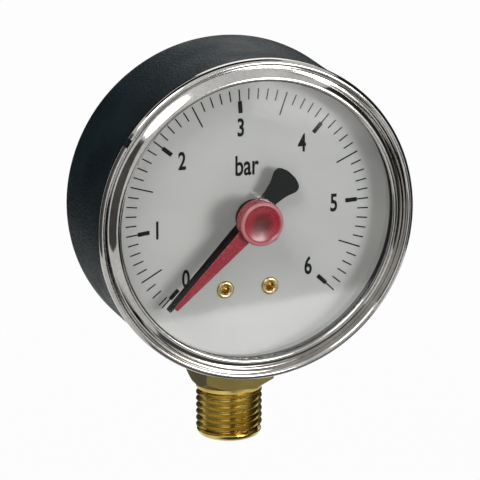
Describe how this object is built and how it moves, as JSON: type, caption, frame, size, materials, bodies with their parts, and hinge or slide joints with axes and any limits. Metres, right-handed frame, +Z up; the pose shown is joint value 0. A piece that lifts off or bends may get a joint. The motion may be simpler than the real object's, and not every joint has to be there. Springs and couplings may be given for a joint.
{
  "type": "pressure gauge",
  "caption": "Round pressure gauge with a deep black case, chrome bezel, white dial, resettable red marker hand and a threaded brass stem below.",
  "frame": {"origin": "on the stem's axis, where the thread meets the wrench square", "axes": "+Z up towards the top of the case, the dial looks along -Y, +X to the viewer's right"},
  "size_m": [0.0643, 0.0287, 0.0807],
  "materials": {
    "case_plastic": "fine grained, moulded",
    "bezel_chrome": "plated, polished",
    "window_clear": "clear, polished",
    "black_rubber": "matte",
    "spacer_plastic": "light grey, satin",
    "dial_paint": "printed, matte white",
    "turned_brass": "turned",
    "stem_brass": "machined, bright",
    "tube_brass": "drawn, dull",
    "bright_steel": "bright",
    "plate_brass": "blanked",
    "spring_bronze": "bright strip",
    "pointer_black": "matte black",
    "marker_red": "translucent red, moulded"
  },
  "bodies": {
    "housing": {"case": "case_plastic", "bezel": "bezel_chrome", "window": "window_clear", "window_gasket": "black_rubber", "spacer_ring": "spacer_plastic", "dial": "dial_paint", "dial_posts": "turned_brass", "dial_rivets": "turned_brass", "stem": "stem_brass", "bourdon_tube": "tube_brass", "hairspring_stud": "turned_brass", "back_plate": "plate_brass", "front_plate": "plate_brass", "plate_pillars": "turned_brass", "plate_screws": "bright_steel", "movement_screws": "bright_steel", "case_screws": "bright_steel"},
    "pointer": {"pointer": "pointer_black", "pointer_hub": "pointer_black", "pointer_spindle": "bright_steel", "hairspring_collet": "turned_brass", "hairspring": "spring_bronze"},
    "sector": {"sector_gear": "plate_brass", "sector_arbor": "bright_steel", "sector_pin": "bright_steel"},
    "tube_tip": {"tube_tip": "turned_brass", "tip_pin": "bright_steel"},
    "link": {"link": "plate_brass"},
    "marker": {"marker_hand": "marker_red", "marker_pin": "turned_brass", "friction_washer": "bright_steel", "marker_retainer": "bright_steel"}
  },
  "joints": [
    {"name": "pointer_turn", "type": "hinge", "parent": "housing", "child": "pointer", "pos_m": [0, -0.0115, 0.0376], "axis": [0, 1, 0], "range_deg": [0, 270], "stiffness_Nm_per_rad": 0.0002},
    {"name": "sector_turn", "type": "hinge", "parent": "housing", "child": "sector", "pos_m": [0, -0.0058, 0.02385], "axis": [0, 1, 0], "range_deg": [-27, 0]},
    {"name": "tube_bend", "type": "hinge", "parent": "housing", "child": "tube_tip", "pos_m": [-0.0032, 0, 0.0435], "axis": [0, 1, 0], "range_deg": [-5.14, 0], "deforming": ["bourdon_tube"]},
    {"name": "link_turn", "type": "hinge", "parent": "tube_tip", "child": "link", "pos_m": [0.0201, -0.005, 0.0297], "axis": [0, 1, 0], "range_deg": [0, 2.74]},
    {"name": "marker_turn", "type": "hinge", "parent": "housing", "child": "marker", "pos_m": [0, -0.018, 0.0376], "axis": [0, 1, 0], "continuous": true}
  ],
  "couplings": [
    {"joint": "sector_turn", "follows": "pointer_turn", "ratio": -0.1},
    {"joint": "tube_bend", "follows": "pointer_turn", "ratio": -0.019019},
    {"joint": "link_turn", "follows": "pointer_turn", "ratio": 0.010111}
  ]
}
